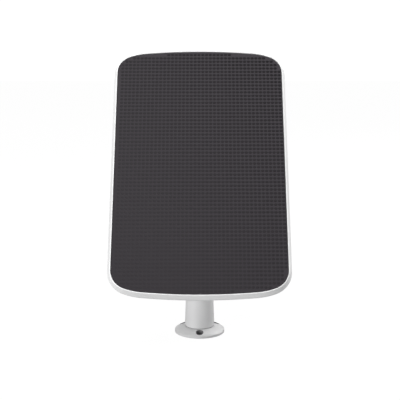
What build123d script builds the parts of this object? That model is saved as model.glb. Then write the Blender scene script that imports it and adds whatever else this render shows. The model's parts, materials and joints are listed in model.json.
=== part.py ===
"""Solar charging panel for an outdoor security camera, on a screw-down post.

A thin rounded photovoltaic panel in a white two-part casing leans back on a tapered post.
The post turns on a round screw-down base, a clevis hinge at its top sets the lean, and a
turntable on the casing's back lets the panel be turned from upright to sideways.

Frame: millimetres, +Z up along the post, origin at the centre of the base's underside.
The panel faces -Y and up. The casing and all it holds are modelled in the panel's own frame,
with the tilt axis along X through its origin, +Y up the panel and +Z out of its front, and
are then placed on the post.
"""

from build123d import *
from math import acos, atan2, cos, hypot, radians, sin, sqrt, tan
import os

# ---------------------------------------------------------------- photovoltaic face and casing
film_width = 134.0  # the dark face, side to side
film_length = 204.9  # the dark face, end to end on its centre line
film_corner_radius = 15.1  # where the corner leaves the straight side
film_corner_turn = 69.0  # degrees turned at that radius
film_shoulder_radius = 50.0  # the wider arc from there to the bowed end
film_end_radius = 513.0  # the two ends bow outwards
pocket_gap = 0.2  # film edge to the casing's pocket
bezel_width = 0.8  # film edge to the outer edge of the casing's front face
casing_flare = 2.2  # how far the side wall spreads behind the front face
flare_depth = 5.2
flare_edge_radius = 2.0
bezel_edge_radius = 0.4
casing_thickness = 14.0
rear_cover_depth = 5.6  # casing's back to the joint with the front frame
side_wall_height = 0.5  # upright band between the flare and the rounded back edge
rear_floor = 2.0
rim_inset = 2.6  # film edge inwards to the inside of the casing's rim
ledge_width = 5.0  # film edge inwards to the opening behind the laminate
ledge_thickness = 2.0

# ---------------------------------------------------------------- laminate, front to back
film_recess = 0.4  # casing's front face down to the film
film_thickness = 0.3
front_sheet_thickness = 0.4  # encapsulant over the cells
cell_thickness = 0.2
ribbon_thickness = 0.1
rear_sheet_thickness = 0.4
board_thickness = 1.2
tape_thickness = 1.0
tape_edge_gap = 0.3

cell_columns = 2
cell_rows = 6
cell_gap = 1.6
cell_side_margin = 9.0  # film edge to the cells
cell_end_margin = 14.2
ribbon_width = 1.2
bus_width = 2.4
bus_gap = 0.8  # cells to the bus beyond their ends

# ---------------------------------------------------------------- post and base
pivot_height = 126.6  # tilt axis above the base's underside
rest_lean = 30.0  # panel from upright, in degrees
base_diameter = 41.8
base_edge_height = 1.9
base_edge_radius = 0.4
base_land_height = 5.1  # the flat that the post turns on
base_land_radius = 12.75
base_crown = 0.6  # how far the cone bulges above a straight one
screw_circle = 33.0
screw_count = 3
screw_hole_radius = 1.75
screw_recess_radius = 3.1
screw_recess_floor = 1.2
hub_edge_chamfer = 0.4
hub_radius = 7.5
hub_rise = 5.0  # hub above the land
hub_web = 4.0
hub_counterbore_radius = 5.8

glide_thickness = 0.5
glide_setback = 0.5  # glide ring's edge inside the post's edge
post_foot_radius = 12.45
post_top_radius = 8.6
post_wall = 2.6
post_cap_thickness = 9.0  # solid top of the post, below its shoulder
shoulder_drop = 12.0  # tilt axis down to the post's shoulder
shoulder_radius = 1.6
plug_length = 19.0
plug_radius = 9.75
hub_top_gap = 0.4
insert_floor = 0.8  # plug below its threaded insert
post_foot_chamfer = 0.3

# ---------------------------------------------------------------- tilt hinge
tongue_radius = 9.0
tongue_thickness = 8.8
tongue_foot_width = 16.0
tilt_washer_thickness = 0.5
tilt_washer_radius = 8.0
ear_thickness = 4.5
ear_radius = 9.5
ear_root_width = 26.0
running_clearance = 0.08  # shanks and hub in the bores that turn on them
thread_gap = 0.05  # threaded shanks in their nuts, inserts and pilot holes

# ---------------------------------------------------------------- turntable
pivot_to_back = 22.0  # tilt axis to the casing's back
turntable_radius = 22.1
turntable_recess_gap = 0.4
turntable_recess_depth = 1.5
turntable_thickness = 4.3
turntable_float = 0.2  # disc to the floor of its recess
pad_inner_radius = 8.0
pad_outer_radius = 14.0
pad_thickness = 0.8
pad_gap = 0.1
disc_floor = 1.8  # disc's back to the floor of its screw's counterbore
disc_edge_chamfer = 0.8
stop_radius = 18.0
stop_peg_radius = 1.6
stop_slot_gap = 0.4
stop_peg_length = 2.5
turn_limit = 90.0  # panel each way, in degrees
turn_spare = 1.5  # slot past the limit, in degrees

# ---------------------------------------------------------------- fasteners and small parts
m5_radius = 2.5
m5_head_radius = 4.4
m5_low_head = 2.6
m5_cap_head = 5.0
m5_socket = 3.6  # across flats
m5_socket_depth = 1.7
m5_cap_socket_depth = 2.55
m5_nut_flats = 8.0
m5_nut_height = 4.5
nut_side_gap = 0.1
bolt_past_ear = 2.2
head_chamfer = 0.4
nut_pocket_depth = 2.8
wave_washer_thickness = 0.5
flat_washer_thickness = 0.8
washer_bore_gap = 0.3
base_washer_rim = 0.7  # washer beyond the screw's head
disc_washer_rim = 0.2
insert_radius = 3.6
base_insert_length = 8.0
longest_turntable_insert = 6.0
insert_boss_wall = 2.9
bore_end_gap = 1.2  # least space from the insert's boss to the laminate

cover_screw_inset = 5.4  # film edge inwards to the screws
cover_boss_radius = 3.7
cover_screw_radius = 1.15
cover_pilot_radius = 0.95
cover_head_radius = 2.4
cover_head_height = 1.5
cover_recess_radius = 2.7
cover_recess_depth = 2.4
cover_hole_gap = 0.2
blind_end = 0.5  # material left beyond a blind hole
screw_end_gap = 0.4
cover_screw_length = 7.0
cover_screw_rows = (-0.385, -0.13, 0.13, 0.385)  # share of the film's length

gasket_width = 1.6
gasket_depth = 1.4
gasket_inset = 2.4  # casing's outside to the groove
gasket_side_gap = 0.1

# ---------------------------------------------------------------- electronics and outlets
circuit_width = 44.0
circuit_length = 31.0
circuit_centre_y = -63.5
circuit_thickness = 1.2
circuit_corner_radius = 1.5
circuit_post_height = 2.0
circuit_post_radius = 2.5
circuit_post_inset = 3.0
circuit_screw_radius = 0.95
circuit_head_radius = 1.9
circuit_head_height = 1.4
gland_place = (-40.0, -70.0)
vent_place = (40.0, -70.0)
cable_bore_radius = 1.9
gland_neck_radius = 4.0
gland_flange_radius = 7.0
gland_flange_thickness = 1.6
gland_sleeve_length = 6.1
gland_tip_radius = 3.4
gland_sleeve_spread = 1.6  # the sleeve is this much wider at the flange than at its tip
gland_flange_fillet = 0.6
gland_washer_inset = 0.3  # the washer's edge inside the flange's edge
gland_washer_gap = 0.1
gland_washer_thickness = 0.8
gland_nut_flats = 13.0
gland_nut_height = 3.0
vent_recess_radius = 4.6
vent_recess_depth = 1.4
vent_cap_radius = 4.5
vent_cap_height = 1.6
vent_membrane_thickness = 0.2
vent_hole_radius = 1.5
lead_radius = 0.65
terminal_pad = (4.0, 6.0, 0.2)
terminal_spread = 7.0  # pads from the panel's middle line
terminal_reach = 10.0  # pads above the board's upper edge
component_gap = 0.8  # tallest component to the laminate
block_width = 10.0
block_length = 7.0
block_height = 4.0
block_setback = 2.0  # board's upper edge to the terminal block
lead_entry = 2.6  # lead's centre from the block's centre
lead_entry_gap = 0.15
lead_entry_depth = 3.0
inductor_size = 7.0
inductor_height = 3.4
inductor_corner = 1.0
chip_size = (5.0, 4.0, 1.5)
diode_size = (4.4, 2.6)
diode_height = 2.2
can_radius = 2.0
can_foot = (4.3, 0.5)
can_height = 3.9
header_size = (7.6, 4.6)
header_wall = 0.8
header_height = 3.6
inductor_place = (0.0, -3.5)  # these places are from the board's middle
chip_place = (-12.0, -2.0)
diode_places = ((-12.5, 9.0), (12.5, 9.0))
can_places = ((12.0, 2.0), (12.0, -6.5), (-11.5, -9.0))
header_place = (0.0, -11.5)

# ---------------------------------------------------------------- places worked out from the above
casing_grow = bezel_width + casing_flare
back_z = pivot_to_back
front_z = back_z + casing_thickness
parting_z = back_z + rear_cover_depth
rear_edge_radius = casing_thickness - flare_depth - side_wall_height
floor_z = back_z + rear_floor
film_top = front_z - film_recess
film_back = film_top - film_thickness
cell_top = film_back - front_sheet_thickness
cell_back = cell_top - cell_thickness
ribbon_back = cell_back - ribbon_thickness
board_top = ribbon_back - rear_sheet_thickness
board_back = board_top - board_thickness
ledge_top = board_back - tape_thickness
ledge_back = ledge_top - ledge_thickness

cell_width = (film_width - 2 * cell_side_margin - (cell_columns - 1) * cell_gap) / cell_columns
cell_length = (film_length - 2 * cell_end_margin - (cell_rows - 1) * cell_gap) / cell_rows

post_foot_z = base_land_height + glide_thickness
shoulder_z = pivot_height - shoulder_drop
post_slope = (post_foot_radius - post_top_radius) / (shoulder_z - post_foot_z)
hub_top = base_land_height + hub_rise
hub_web_z = hub_top - hub_web
plug_top = post_foot_z + plug_length

ear_inner = tongue_thickness / 2 + tilt_washer_thickness
ear_outer = ear_inner + ear_thickness
recess_floor_z = back_z + turntable_recess_depth
disc_top = recess_floor_z - turntable_float
disc_back = disc_top - turntable_thickness
disc_step = disc_back + disc_floor
disc_counterbore_radius = ear_inner - 0.1
recess_pad_top = recess_floor_z + rear_floor
turntable_insert_length = min(longest_turntable_insert, board_back - recess_pad_top - bore_end_gap)
circuit_back = floor_z + circuit_post_height
circuit_top = circuit_back + circuit_thickness
circuit_high_y = circuit_centre_y + circuit_length / 2
component_room = board_back - circuit_top - component_gap
terminal_height = min(block_height, component_room)
block_y = circuit_high_y - block_setback - block_length / 2
lead_entry_z = circuit_top + terminal_height / 2
terminal_y = circuit_high_y + terminal_reach

PANEL = Pos(0, 0, pivot_height) * Rot(90 - rest_lean, 0, 0)


# ---------------------------------------------------------------- helpers
def post_radius(z):
    """Outer radius of the tapered post at a height."""
    return post_foot_radius - post_slope * (z - post_foot_z)


def rod(radius, low, high, x=0.0, y=0.0):
    """Upright cylinder from one height to another."""
    return Pos(x, y, (low + high) / 2) * Cylinder(radius, high - low)


def tube(outer, inner, low, high, x=0.0, y=0.0):
    """Upright cylinder with a through bore."""
    return rod(outer, low, high, x, y) - rod(inner, low - 1, high + 1, x, y)


def block(x, y, low, width, length, height):
    """Box centred on x and y, standing on a height."""
    return Pos(x, y, low + height / 2) * Box(width, length, height)


def hex_bar(flats, low, high, x=0.0, y=0.0):
    """Upright hexagonal bar, sized across its flats."""
    face = RegularPolygon(flats / 2, 6, major_radius=False)
    return extrude(Pos(x, y, low) * face, amount=high - low)


def group(solids):
    """Several separate solids in one node."""
    return Compound(list(solids))


def arc_point(x, y, radius, angle):
    """Point on a circle round (x, y)."""
    return (x + radius * cos(angle), y + radius * sin(angle))


def mirrored(points, flip_x, flip_y):
    """The same points in another quarter of the outline."""
    return [(flip_x * x, flip_y * y) for x, y in points]


def panel_outline(grow):
    """The panel's outline, grown or shrunk evenly: straight sides, two-radius corners, bowed ends."""
    turn = radians(film_corner_turn)
    widening = film_shoulder_radius - film_corner_radius
    bow_y = film_length / 2 - film_end_radius
    corner_x = film_width / 2 - film_corner_radius
    shoulder_x = corner_x - widening * cos(turn)
    shoulder_y = bow_y + sqrt((film_end_radius - film_shoulder_radius) ** 2 - shoulder_x**2)
    corner_y = shoulder_y + widening * sin(turn)
    bow_start = atan2(shoulder_y - bow_y, shoulder_x)
    corner_radius = film_corner_radius + grow
    outer_radius = film_shoulder_radius + grow
    corner = [arc_point(corner_x, corner_y, corner_radius, turn * k / 2) for k in range(3)]
    mid_shoulder = (turn + bow_start) / 2
    shoulder = [
        arc_point(shoulder_x, shoulder_y, outer_radius, angle)
        for angle in (turn, mid_shoulder, bow_start)
    ]
    side, bow_foot = corner[0], shoulder[2]
    bow_top = (0, film_length / 2 + grow)
    edges = [Line((x, -side[1]), (x, side[1])) for x in (-side[0], side[0])]
    for flip_y in (-1, 1):
        bow = mirrored([bow_foot, bow_top, (-bow_foot[0], bow_foot[1])], 1, flip_y)
        edges.append(ThreePointArc(*bow))
        for flip_x in (-1, 1):
            edges.append(ThreePointArc(*mirrored(corner, flip_x, flip_y)))
            edges.append(ThreePointArc(*mirrored(shoulder, flip_x, flip_y)))
    return make_face(Wire.combine(edges)[0])


def slab(grow, low, high):
    """The panel's outline as a plate."""
    return extrude(Pos(0, 0, low) * panel_outline(grow), amount=high - low)


def edges_at(shape, z):
    """Edges that lie flat at a height."""
    return shape.edges().filter_by_position(Axis.Z, z - 0.01, z + 0.01)


def socket_screw(head_low, head_height, head_radius, tip, shank_radius, flats, depth):
    """Screw along Z with its head at the low end and a hexagonal socket in the head."""
    head = rod(head_radius, head_low, head_low + head_height)
    head = chamfer(edges_at(head, head_low), head_chamfer)
    shank = rod(shank_radius, head_low + head_height, tip)
    return head + shank - hex_bar(flats, head_low - 1, head_low + depth)


def cross_screw(head_low, head_height, head_radius, tip, shank_radius):
    """Small pan-head screw along Z with its head at the low end and a cross recess."""
    head = rod(head_radius, head_low, head_low + head_height)
    head = fillet(edges_at(head, head_low), head_height * 0.4)
    arm, width, depth = head_radius * 1.1, head_radius * 0.26, head_height * 0.6
    cross = block(0, 0, head_low - 1, arm, width, depth + 1)
    cross += block(0, 0, head_low - 1, width, arm, depth + 1)
    return head + rod(shank_radius, head_low + head_height, tip) - cross


def cover_screw_places():
    """The screws round the casing: rows down both sides and one at the middle of each end."""
    side = film_width / 2 - cover_screw_inset
    end = film_length / 2 - cover_screw_inset
    sides = [(sign * side, row * film_length) for sign in (-1, 1) for row in cover_screw_rows]
    return sides + [(0, -end), (0, end)]


def circuit_screw_places():
    """The four corners of the circuit board."""
    x = circuit_width / 2 - circuit_post_inset
    y = circuit_length / 2 - circuit_post_inset
    return [(sx * x, circuit_centre_y + sy * y) for sx in (-1, 1) for sy in (-1, 1)]


# ---------------------------------------------------------------- base and post
def make_base_flange():
    """Low, slightly bulging cone with three recessed screw holes, a hub for the post and a screw well."""
    radius = base_diameter / 2
    mid_cone = (
        (radius + base_land_radius) / 2,
        (base_edge_height + base_land_height) / 2 + base_crown,
    )
    profile = [
        ThreePointArc((radius, base_edge_height), mid_cone, (base_land_radius, base_land_height)),
        Polyline(
            (base_land_radius, base_land_height),
            (hub_radius, base_land_height),
            (hub_radius, hub_top),
            (0, hub_top),
            (0, 0),
            (radius, 0),
            (radius, base_edge_height),
        ),
    ]
    body = revolve(Plane.XZ * make_face(profile), Axis.Z)
    body = fillet(edges_at(body, base_edge_height), base_edge_radius)
    body = chamfer(edges_at(body, hub_top), hub_edge_chamfer)
    body -= rod(hub_counterbore_radius, -1, hub_web_z)
    body -= rod(m5_radius + running_clearance, -1, hub_top + 1)
    for k in range(screw_count):
        angle = radians(-90 + k * 360 / screw_count)
        x, y = screw_circle / 2 * cos(angle), screw_circle / 2 * sin(angle)
        body -= rod(screw_recess_radius, screw_recess_floor, base_land_height + 1, x, y)
        body -= rod(screw_hole_radius, -1, base_land_height + 1, x, y)
    return body


def make_glide_ring():
    """Slippery ring that the post's foot turns on."""
    outer = post_foot_radius - glide_setback
    return tube(outer, hub_radius + running_clearance, base_land_height, post_foot_z)


def make_post():
    """Hollow tapered post, open below, with the hinge tongue on its closed top."""
    shell = Pos(0, 0, (post_foot_z + shoulder_z) / 2) * Cone(
        post_foot_radius, post_top_radius, shoulder_z - post_foot_z
    )
    shell = fillet(edges_at(shell, shoulder_z), shoulder_radius)
    shell = chamfer(edges_at(shell, post_foot_z), post_foot_chamfer)
    cavity_top = shoulder_z - post_cap_thickness
    hollow = Pos(0, 0, (plug_top + cavity_top) / 2) * Cone(
        post_radius(plug_top) - post_wall, post_radius(cavity_top) - post_wall, cavity_top - plug_top
    )
    seat = rod(plug_radius + thread_gap, post_foot_z - 1, plug_top)
    tongue = Plane.YZ * (
        Pos(0, pivot_height) * Circle(tongue_radius)
        + Polygon(
            (-tongue_foot_width / 2, shoulder_z - 1),
            (tongue_foot_width / 2, shoulder_z - 1),
            (tongue_radius, pivot_height),
            (-tongue_radius, pivot_height),
            align=None,
        )
    )
    tongue = Pos(-tongue_thickness / 2, 0, 0) * extrude(tongue, amount=tongue_thickness)
    bore = Rot(0, 90, 0) * Cylinder(m5_radius + running_clearance, tongue_thickness * 2)
    return shell - hollow - seat + tongue - Pos(0, 0, pivot_height) * bore


def make_post_plug():
    """Foot insert glued in the post: it runs on the base's hub and carries the threaded insert."""
    hollow_top = hub_top + hub_top_gap
    insert_low = hollow_top + insert_floor
    body = rod(plug_radius, post_foot_z, plug_top)
    body -= rod(hub_radius + running_clearance, post_foot_z - 1, hollow_top)
    body -= rod(m5_radius + washer_bore_gap, hollow_top - 1, plug_top + 1)
    return body - rod(insert_radius, insert_low, insert_low + base_insert_length)


def make_post_insert():
    """Brass thread that the swivel screw pulls up into."""
    low = hub_top + hub_top_gap + insert_floor
    return tube(insert_radius, m5_radius + thread_gap, low, low + base_insert_length)


def make_swivel_wave_washer():
    """Spring washer that keeps the post firm but turnable."""
    outer = m5_head_radius + base_washer_rim
    inner = m5_radius + washer_bore_gap
    return tube(outer, inner, hub_web_z - wave_washer_thickness, hub_web_z)


def make_swivel_flat_washer():
    """Flat washer under the swivel screw's head."""
    top = hub_web_z - wave_washer_thickness
    outer = m5_head_radius + base_washer_rim
    inner = m5_radius + washer_bore_gap
    return tube(outer, inner, top - flat_washer_thickness, top)


def make_swivel_screw():
    """Screw up through the base into the post."""
    head_top = hub_web_z - wave_washer_thickness - flat_washer_thickness
    tip = hub_top + hub_top_gap + base_insert_length
    return socket_screw(
        head_top - m5_low_head, m5_low_head, m5_head_radius, tip, m5_radius, m5_socket, m5_socket_depth
    )


# ---------------------------------------------------------------- tilt hinge, in the panel's frame
def ear_profile():
    """Side of one clevis ear: a round eye with tangent flanks down to a wide root on the disc."""
    half = ear_root_width / 2
    reach = hypot(half, disc_back)
    angle = atan2(disc_back, half) - acos(ear_radius / reach)
    flank = (ear_radius * cos(angle), ear_radius * sin(angle))
    root = disc_back + 0.5
    return Circle(ear_radius) + Polygon(
        (-half, root),
        (-half, disc_back),
        (-flank[0], flank[1]),
        flank,
        (half, disc_back),
        (half, root),
        align=None,
    )


def make_tilt_bracket():
    """Turntable disc with the two ears of the tilt hinge on its back."""
    disc = rod(turntable_radius, disc_back, disc_top)
    disc = chamfer(edges_at(disc, disc_back), disc_edge_chamfer)
    ear = extrude(Plane.YZ * ear_profile(), amount=ear_thickness)
    ears = Pos(ear_inner, 0, 0) * ear + Pos(-ear_outer, 0, 0) * ear
    body = disc + ears
    body -= Rot(0, 90, 0) * Cylinder(m5_radius + running_clearance, 4 * ear_outer)
    pocket_low = ear_outer - nut_pocket_depth
    body -= Rot(0, -90, 0) * hex_bar(m5_nut_flats + 2 * nut_side_gap, pocket_low, ear_outer + 1)
    body -= rod(disc_counterbore_radius, disc_back - 1, disc_step)
    body -= rod(m5_radius + running_clearance, disc_back - 1, disc_top + 1)
    groove_floor = recess_floor_z - pad_thickness
    body -= tube(pad_outer_radius + pad_gap, pad_inner_radius - pad_gap, groove_floor, disc_top + 1)
    return body - stop_slot()


def stop_slot():
    """Arc slot in the disc that the casing's peg runs in, a little past the turn limit each way."""
    half_width = stop_peg_radius + stop_slot_gap
    sweep = turn_limit + turn_spare
    depth = stop_peg_length + stop_slot_gap
    low = recess_floor_z - depth
    ring = tube(stop_radius + half_width, stop_radius - half_width, low, disc_top + 1)
    keep = stop_radius + 2 * half_width
    low_edge = stop_radius * sin(radians(90 - sweep))
    upper_half = block(0, low_edge + keep / 2, low - 1, 2 * keep, keep, depth + 4)
    ends = [
        rod(half_width, low, disc_top + 1, side * stop_radius * cos(radians(90 - sweep)), low_edge)
        for side in (-1, 1)
    ]
    return (ring & upper_half) + ends[0] + ends[1]


def make_turntable_pad():
    """Friction ring let into the disc, bearing on the casing."""
    return tube(pad_outer_radius, pad_inner_radius, recess_floor_z - pad_thickness, recess_floor_z)


def make_tilt_washers():
    """Friction washers on both sides of the tongue."""
    washer = tube(tilt_washer_radius, m5_radius + running_clearance, tongue_thickness / 2, ear_inner)
    return group([Rot(0, 90, 0) * washer, Rot(0, -90, 0) * washer])


def make_tilt_bolt():
    """Cap screw across the hinge, its head on the right ear."""
    bolt = socket_screw(
        -ear_outer - m5_cap_head,
        m5_cap_head,
        m5_head_radius,
        ear_outer + bolt_past_ear,
        m5_radius,
        m5_socket,
        m5_cap_socket_depth,
    )
    return Rot(0, -90, 0) * bolt


def make_tilt_nut():
    """Nut held in the left ear's pocket."""
    low = ear_outer - nut_pocket_depth
    nut = hex_bar(m5_nut_flats, low, low + m5_nut_height)
    nut -= rod(m5_radius + thread_gap, low - 1, low + m5_nut_height + 1)
    return Rot(0, -90, 0) * nut


# ---------------------------------------------------------------- turntable screw, in the panel's frame
def make_turntable_screw():
    """Screw through the disc into the casing; the panel turns with it."""
    head_top = disc_step - wave_washer_thickness
    tip = recess_pad_top + turntable_insert_length - screw_end_gap
    return socket_screw(
        head_top - m5_low_head, m5_low_head, m5_head_radius, tip, m5_radius, m5_socket, m5_socket_depth
    )


def make_turntable_washer():
    """Spring washer between the screw's head and the disc."""
    outer = m5_head_radius + disc_washer_rim
    inner = m5_radius + washer_bore_gap
    return tube(outer, inner, disc_step - wave_washer_thickness, disc_step)


def make_turntable_insert():
    """Brass thread in the middle of the rear cover."""
    top = recess_pad_top + turntable_insert_length
    return tube(insert_radius, m5_radius + thread_gap, recess_pad_top, top)


# ---------------------------------------------------------------- casing, in the panel's frame
def casing_blank():
    """The closed casing as one solid: a flare behind the front face, then a rounded back edge."""
    body = slab(casing_grow, back_z, front_z)
    top = body.faces().sort_by(Axis.Z)[-1]
    body = chamfer(top.edges(), casing_flare, flare_depth, reference=top)
    body = fillet(edges_at(body, front_z - flare_depth), flare_edge_radius)
    body = fillet(edges_at(body, front_z), bezel_edge_radius)
    return fillet(edges_at(body, back_z), rear_edge_radius)


def make_front_frame():
    """White frame with a flared side wall, a pocket for the laminate and a ledge behind it."""
    body = casing_blank() & slab(casing_grow + 1, parting_z, front_z + 1)
    body -= slab(pocket_gap, ledge_top, front_z + 1)
    body -= slab(-ledge_width, parting_z - 1, ledge_top + 1)
    body -= slab(-rim_inset, parting_z - 1, ledge_back)
    for x, y in cover_screw_places():
        body += rod(cover_boss_radius, parting_z, ledge_top, x, y)
    for x, y in cover_screw_places():
        body -= rod(cover_pilot_radius, parting_z - 1, ledge_top - blind_end, x, y)
    return body


def gasket_ring(side_gap):
    """Ring that follows the casing's rim, for the gasket and its groove."""
    outer = casing_grow - gasket_inset - side_gap
    inner = outer - gasket_width + 2 * side_gap
    ring = slab(outer, parting_z - gasket_depth, parting_z)
    return ring - slab(inner, parting_z - gasket_depth - 1, parting_z + 1)


def make_casing_gasket():
    """Silicone cord in the rear cover's groove."""
    return gasket_ring(gasket_side_gap)


def make_rear_cover():
    """White tray with the turntable recess, screw bosses, board posts, cable hole and vent."""
    body = casing_blank() & slab(casing_grow + 1, back_z - 1, parting_z)
    body -= slab(-rim_inset, floor_z, parting_z + 1)
    body -= gasket_ring(0.0)
    recess_radius = turntable_radius + turntable_recess_gap
    insert_top = recess_pad_top + turntable_insert_length
    body += rod(recess_radius + rear_floor, floor_z, recess_pad_top)
    body += rod(insert_radius + insert_boss_wall, recess_pad_top, insert_top)
    body += rod(vent_recess_radius + rear_floor, floor_z, floor_z + 1, *vent_place)
    for x, y in circuit_screw_places():
        body += rod(circuit_post_radius, floor_z, circuit_back, x, y)
    for x, y in cover_screw_places():
        body += rod(cover_boss_radius, floor_z, parting_z, x, y)
    body -= rod(recess_radius, back_z - 1, recess_floor_z)
    body -= rod(m5_radius + washer_bore_gap, back_z - 1, insert_top + 1)
    body -= rod(insert_radius, recess_pad_top, insert_top + 1)
    body -= rod(gland_neck_radius + 0.1, back_z - 1, floor_z + 1, *gland_place)
    body -= rod(vent_recess_radius, back_z - 1, back_z + vent_recess_depth, *vent_place)
    body -= rod(vent_hole_radius, back_z - 1, floor_z + 2, *vent_place)
    for x, y in circuit_screw_places():
        body -= rod(circuit_screw_radius, floor_z + blind_end, circuit_back + 1, x, y)
    for x, y in cover_screw_places():
        body -= rod(cover_screw_radius + cover_hole_gap, back_z - 1, parting_z + 1, x, y)
        body -= rod(cover_recess_radius, back_z - 1, back_z + cover_recess_depth, x, y)
    return body + rod(stop_peg_radius, recess_floor_z - stop_peg_length, recess_floor_z + 0.5, 0, stop_radius)


def make_cover_screws():
    """Ten screws that hold the rear cover to the front frame."""
    head_low = back_z + cover_recess_depth - cover_head_height
    tip = min(back_z + cover_recess_depth + cover_screw_length, ledge_top - blind_end) - screw_end_gap
    screw = cross_screw(head_low, cover_head_height, cover_head_radius, tip, cover_pilot_radius - thread_gap)
    return group(Pos(x, y, 0) * screw for x, y in cover_screw_places())


# ---------------------------------------------------------------- laminate, in the panel's frame
def cell_places():
    """Centres of the cells, column by column."""
    step_x = cell_width + cell_gap
    step_y = cell_length + cell_gap
    return [
        ((c - (cell_columns - 1) / 2) * step_x, (r - (cell_rows - 1) / 2) * step_y)
        for c in range(cell_columns)
        for r in range(cell_rows)
    ]


def cell_solids():
    """The cells, each a thin wafer."""
    return [block(x, y, cell_back, cell_width, cell_length, cell_thickness) for x, y in cell_places()]


def ribbon_solids():
    """Two ribbons down the back of each column, a bus across the top and a bus out of each column's foot."""
    run = film_length - 2 * cell_end_margin + 2 * bus_gap
    columns = sorted({x for x, _ in cell_places()})
    strips = [
        block(x + side * cell_width / 4, 0, ribbon_back, ribbon_width, run, ribbon_thickness)
        for x in columns
        for side in (-1, 1)
    ]
    bus_length = columns[-1] - columns[0] + cell_width / 2 + ribbon_width
    bus_y = run / 2 + bus_width / 2
    top = block(0, bus_y, ribbon_back, bus_length, bus_width, ribbon_thickness)
    foot_length = cell_width / 2 + ribbon_width
    feet = [block(x, -bus_y, ribbon_back, foot_length, bus_width, ribbon_thickness) for x in columns]
    return strips + [top] + feet


def make_front_encapsulant():
    """Clear sheet over the cells, moulded round them and their ribbons."""
    sheet = slab(0, ribbon_back, film_back)
    for solid in cell_solids() + ribbon_solids():
        sheet -= solid
    return sheet


def make_cell_terminals():
    """Two copper pads on the back of the board, where the leads are soldered."""
    width, length, height = terminal_pad
    return group(
        block(x, terminal_y, board_back - height, width, length, height)
        for x in (-terminal_spread, terminal_spread)
    )


# ---------------------------------------------------------------- electronics, in the panel's frame
def make_circuit_board():
    """Charge regulator's board on four posts."""
    board = block(0, circuit_centre_y, circuit_back, circuit_width, circuit_length, circuit_thickness)
    board = fillet(board.edges().filter_by(Axis.Z), circuit_corner_radius)
    for x, y in circuit_screw_places():
        board -= rod(circuit_screw_radius + cover_hole_gap, circuit_back - 1, circuit_top + 1, x, y)
    return board


def make_circuit_screws():
    """Four small screws, heads towards the laminate."""
    head_top = circuit_top + circuit_head_height
    tip = head_top - floor_z - blind_end - screw_end_gap
    screw = cross_screw(0, circuit_head_height, circuit_head_radius, tip, circuit_screw_radius - thread_gap)
    upright = Pos(0, 0, head_top) * Rot(180, 0, 0) * screw
    return group(Pos(x, y, 0) * upright for x, y in circuit_screw_places())


def make_terminal_block():
    """Two-way block with an entry for each lead."""
    body = block(0, block_y, circuit_top, block_width, block_length, terminal_height)
    for side in (-1, 1):
        entry = Pos(side * lead_entry, block_y + block_length / 2, lead_entry_z) * Rot(90, 0, 0)
        body -= entry * Cylinder(lead_radius + lead_entry_gap, 2 * lead_entry_depth)
    return body


def make_leads():
    """Two short insulated leads from the copper pads to the terminal block."""
    under_pad = board_back - terminal_pad[2] - lead_radius
    block_end = block_y + block_length / 2
    leads = []
    for side in (-1, 1):
        points = [
            (side * terminal_spread, terminal_y + 2.0, under_pad),
            (side * terminal_spread, terminal_y - 3.0, under_pad),
            (side * lead_entry, block_end + 3.5, lead_entry_z),
            (side * lead_entry, block_end + screw_end_gap - lead_entry_depth, lead_entry_z),
        ]
        leads.append(lead_along(points))
    return leads


def lead_along(points):
    """Round lead along straight runs joined by the largest arcs that the runs allow."""
    places = [Vector(*p) for p in points]
    radii = []
    for before, here, after in zip(places, places[1:], places[2:]):
        turn = radians((here - before).get_angle(after - here))
        radii.append(0.45 * min((here - before).length, (after - here).length) / tan(turn / 2))
    path = FilletPolyline(*points, radius=radii)
    section = Plane(origin=path @ 0, z_dir=path % 0) * Circle(lead_radius)
    return sweep(section, path=path)


def make_power_inductor():
    """Square shielded coil of the regulator."""
    x, y = inductor_place
    height = min(inductor_height, component_room)
    body = block(x, circuit_centre_y + y, circuit_top, inductor_size, inductor_size, height)
    return fillet(body.edges().filter_by(Axis.Z), inductor_corner)


def make_regulator_chip():
    """Charge control chip."""
    x, y = chip_place
    return block(x, circuit_centre_y + y, circuit_top, *chip_size)


def make_blocking_diodes():
    """Diodes that keep the battery from feeding the cells at night."""
    height = min(diode_height, component_room)
    return group(block(x, circuit_centre_y + y, circuit_top, *diode_size, height) for x, y in diode_places)


def make_capacitors():
    """Three surface-mounted cans."""
    foot, foot_height = can_foot
    top = circuit_top + min(can_height, component_room)
    return group(
        block(x, circuit_centre_y + y, circuit_top, foot, foot, foot_height)
        + rod(can_radius, circuit_top + foot_height, top, x, circuit_centre_y + y)
        for x, y in can_places
    )


def make_output_header():
    """Connector for the charging lead that leaves through the gland."""
    width, length = header_size
    x, y = header_place[0], circuit_centre_y + header_place[1]
    height = min(header_height, component_room)
    shell = block(x, y, circuit_top, width, length, height)
    opening = block(x, y - header_wall, circuit_top + header_wall, width - 2 * header_wall, length, height)
    return shell - opening


# ---------------------------------------------------------------- cable gland and vent
def make_cable_gland():
    """Sleeve for the charging lead: a neck through the cover, a flange and a tapered sleeve outside."""
    flange_top = back_z - gland_washer_thickness
    flange_back = flange_top - gland_flange_thickness
    tip = flange_back - gland_sleeve_length
    x, y = gland_place
    neck = rod(gland_neck_radius, flange_top, floor_z + gland_nut_height, x, y)
    flange = rod(gland_flange_radius, flange_back, flange_top, x, y)
    flange = fillet(edges_at(flange, flange_back), gland_flange_fillet)
    sleeve_root = gland_tip_radius + gland_sleeve_spread
    sleeve = Cone(gland_tip_radius, sleeve_root, gland_sleeve_length)
    sleeve = Pos(x, y, (tip + flange_back) / 2) * sleeve
    return neck + flange + sleeve - rod(cable_bore_radius, tip - 1, floor_z + gland_nut_height + 1, x, y)


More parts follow.
